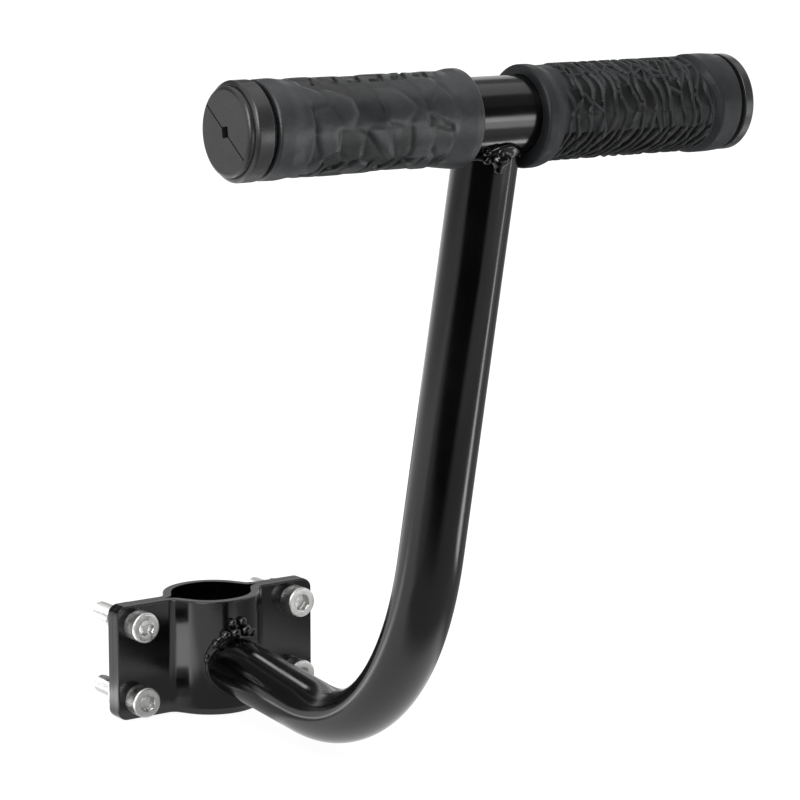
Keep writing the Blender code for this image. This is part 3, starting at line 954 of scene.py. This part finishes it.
def plug(name, side, shape, node):
    """End plug: stem, deep neck, flange with a bevelled rim, and a raised boss with a square core
    hole and a parting line."""
    axis = X * side
    neck, flange, rim, end, band, boss = shape
    stem, neck_r = 9.1, 11.7
    outline = [(62, 0.05), (62, stem - 0.7), (62.8, stem), (neck, stem), (neck, neck_r),
               (flange, neck_r), (flange, band), (rim - 0.7, band), (rim, band - 0.95), (rim, boss),
               (rim - 0.4, boss), (end - 0.6, boss), (end, boss - 0.8), (end, 0.05)]
    profile = [(x * MM, r * MM) for x, r in rounded(outline, 0.42, 5)]
    obj = mesh_object(name, *turned(profile, BAR_MID, axis, Z, 144), PLASTIC)
    face = BAR_MID + axis * end * MM
    along = Vector((0, 0.805, 0.593))                    # the parting line's direction
    across = X.cross(along)
    hole = turned([(-12 * MM, 2.1 * MM), (1 * MM, 2.1 * MM)], face, axis, along, 4)
    tools = [mesh_object("core_hole", *hole, PLASTIC)]
    half = Vector((0.45 * MM, 11.3 * MM, 0.21 * MM))     # half the line's depth, length and width
    corners = []
    for sx in (-1, 1):
        for sy, sz in ((-1, -1), (1, -1), (1, 1), (-1, 1)):
            corners.append(face + X * sx * half.x + along * sy * half.y + across * sz * half.z)
    faces = [(0, 3, 2, 1), (4, 5, 6, 7), (0, 1, 5, 4), (1, 2, 6, 5), (2, 3, 7, 6), (3, 0, 4, 7)]
    tools.append(mesh_object("parting_line", corners, faces, PLASTIC))
    cut(obj, tools)
    flat_shading(obj)
    show(obj, "handle", "plug_rubber", node)


plug("shown_left_end_plug", -1, LEFT_PLUG, "left_end_plug")
plug("shown_right_end_plug", 1, RIGHT_PLUG, "right_end_plug")


# ---------------------------------------------------------------- floor, light and camera

FLOOR_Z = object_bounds()[0].z - 0.2 * MM


def glow(name, strength, width, height, soft):
    """Plain light from a card that fades out over the last soft metres to each edge."""
    n = Nodes(name)
    n.tree.nodes.remove(n.shader)
    split = n.add("SeparateXYZ", Vector=n.coords)
    fades = []
    for axis, size in (("X", width), ("Y", height)):
        reach = n.math("ABSOLUTE", split.outputs[axis], 0.0)
        fade = n.add("MapRange", interpolation_type="SMOOTHSTEP", Value=reach,
                     From_Min=size / 2 - soft, From_Max=size / 2, To_Min=1.0, To_Max=0.0)
        fades.append(fade.outputs["Result"])
    light = n.add("Emission", Strength=strength)
    clear = n.add("BsdfTransparent")
    mix = n.add("MixShader", Fac=n.math("MULTIPLY", *fades))
    n.tree.links.new(clear.outputs[0], mix.inputs[1])
    n.tree.links.new(light.outputs[0], mix.inputs[2])
    n.tree.links.new(mix.outputs[0], n.tree.nodes["Material Output"].inputs["Surface"])
    return n.mat


def rectangle(name, width, height, mat):
    """A level card about its own middle."""
    verts = [(sx * width / 2, sy * height / 2, 0) for sx, sy in ((-1, -1), (1, -1), (1, 1), (-1, 1))]
    return mesh_object(name, verts, [(0, 1, 2, 3)], mat)


def light_table():
    """A white floor that glows by itself, so that the ground looks as plain as the background."""
    n = Nodes("light_table")
    n.set("Base Color", (0.2, 0.2, 0.2, 1))
    n.set("Roughness", 0.9)
    n.set("Specular IOR Level", 0.0)
    n.set("Emission Color", (1, 1, 1, 1))
    n.set("Emission Strength", 0.92)
    obj = rectangle("floor", 12.0, 12.0, n.mat)
    obj.location = (0, 0, FLOOR_Z)


def only_reflected(obj):
    """Shows a card in reflections only, and keeps it out of the object."""
    obj.visible_camera = False
    obj.visible_diffuse = False
    obj.visible_shadow = False
    obj.visible_transmission = False


def card(name, centre, facing, width, height, strength, soft):
    """A card that stands in the room and faces a point: a dark flag or a soft box."""
    obj = rectangle(name, width, height, glow(name, strength, width, height, soft))
    obj.location = centre
    obj.rotation_mode = "QUATERNION"
    obj.rotation_quaternion = (Vector(facing) - Vector(centre)).to_track_quat("Z", "Y")
    only_reflected(obj)


def ground_card(name, x, y, strength, level, soft, turn=0.0):
    """A card over the ranges x and y, level mm above the floor."""
    width, height = x[1] - x[0], y[1] - y[0]
    obj = rectangle(name, width, height, glow(name, strength, width, height, soft))
    obj.location = ((x[0] + x[1]) / 2, (y[0] + y[1]) / 2, FLOOR_Z + level * MM)
    obj.rotation_euler = (0, 0, turn)
    only_reflected(obj)


def studio():
    """White surroundings, and the cards that the gloss paint and the zinc reflect."""
    world = bpy.data.worlds.new("studio")
    bpy.context.scene.world = world
    world.use_nodes = True
    background = world.node_tree.nodes["Background"]
    background.inputs["Color"].default_value = (1, 1, 1, 1)
    background.inputs["Strength"].default_value = 1.05

    # grey and dark flags on the floor, with bright pads and strips over them:
    # x range, y range, strength, height over the floor in mm, soft edge, turn
    ground_card("left_far", (-2.0, -0.70), (-0.30, 2.0), 0.45, 1, 0.06)
    ground_card("left_middle", (-0.80, -0.42), (-0.30, 2.0), 0.70, 1.4, 0.06)
    ground_card("left_near", (-0.24, -0.04), (-0.28, -0.035), 1.15, 1.4, 0.02)
    ground_card("table_right", (0.05, 2.0), (-0.26, 0.7), 0.28, 1, 0.04)
    ground_card("table_front", (-2.0, 2.0), (-2.0, -0.15), 0.55, 1.8, 0.04)
    ground_card("table_near", (-0.12, 0.30), (-0.33, -0.13), 0.38, 2.2, 0.03)
    ground_card("clamp_shade", (-0.06, 0.06), (-0.048, -0.003), 0.4, 2.2, 0.01)
    ground_card("dark_front", (-1.2, 0.03), (-2.0, -0.2), 0.012, 2.6, 0.06)
    ground_card("low_strip", (0.10, 0.53), (-0.30, -0.24), 4.6, 3, 0.02, math.radians(-28))
    ground_card("lamp_pool", (0.20, 0.75), (-1.0, -0.42), 3.0, 3, 0.10)
    ground_card("left_pad_far", (-0.24, -0.04), (-0.050, 0.042), 2.6, 3, 0.03)
    ground_card("left_pad_near", (-0.13, -0.035), (-0.020, 0.030), 3.3, 3.4, 0.012)

    # dark walls in front and behind, a strip light at the back and a lamp low in front:
    # middle, point faced, width, height, strength, soft edge
    bar = (0, -0.15, 0.19)
    card("front_wall", (0, -1.75, 1.0), (0, 0, 1.0), 4.0, 1.7, 0.08, 0.15)
    card("right_wall", (0.95, -1.05, 1.15), bar, 1.1, 0.80, 0.2, 0.12)
    card("roof_back", (0.90, 0.62, 1.25), bar, 1.1, 0.55, 0.32, 0.12)
    card("front_lamp", (0.60, -1.0, 0.0), (0, -0.15, 0.0), 0.44, 0.52, 5.2, 0.17)
    card("left_wall", (-0.97, 1.2, 0.85), (-0.97, 0, 0.85), 1.46, 1.35, 0.12, 0.10)
    card("upper_wall", (0.57, 1.22, 1.05), (0.57, 0, 1.05), 1.00, 1.10, 0.06, 0.08)
    card("gap_wall", (-0.085, 1.215, 1.0), (-0.085, 0, 1.0), 0.44, 1.12, 0.08, 0.06)
    card("back_right", (0.85, 1.25, 0.26), (0.85, 0, 0.26), 0.90, 0.46, 0.42, 0.08)
    card("back_strip", (0.42, 1.19, 1.10), (0.42, 0, 1.10), 0.26, 0.36, 3.8, 0.07)

    # two soft boxes, front left and overhead, that only small round forms catch
    middle = (0, -0.09, 0.09)
    card("left_box", (-0.96, -0.65, 0.58), middle, 0.6, 0.6, 9.0, 0.08)
    card("top_box", (-0.46, -0.70, 0.92), middle, 0.55, 0.55, 7.0, 0.08)


def camera():
    """The photo's view: about 1 m away, 35 degrees to the left and 10 degrees above."""
    scene = bpy.context.scene
    scene.view_settings.view_transform = "Standard"
    lens = bpy.data.cameras.new("camera")
    lens.sensor_width = 36
    lens.lens = 141.1
    lens.clip_start = 0.05
    lens.clip_end = 50
    obj = bpy.data.objects.new("camera", lens)
    scene.collection.objects.link(obj)
    obj.location = (-0.52695, -0.86139, 0.26508)
    elevation, azimuth = math.radians(10.242), math.radians(-35)
    obj.rotation_euler = (math.pi / 2 - elevation, 0, azimuth)
    scene.camera = obj


light_table()
studio()
camera()
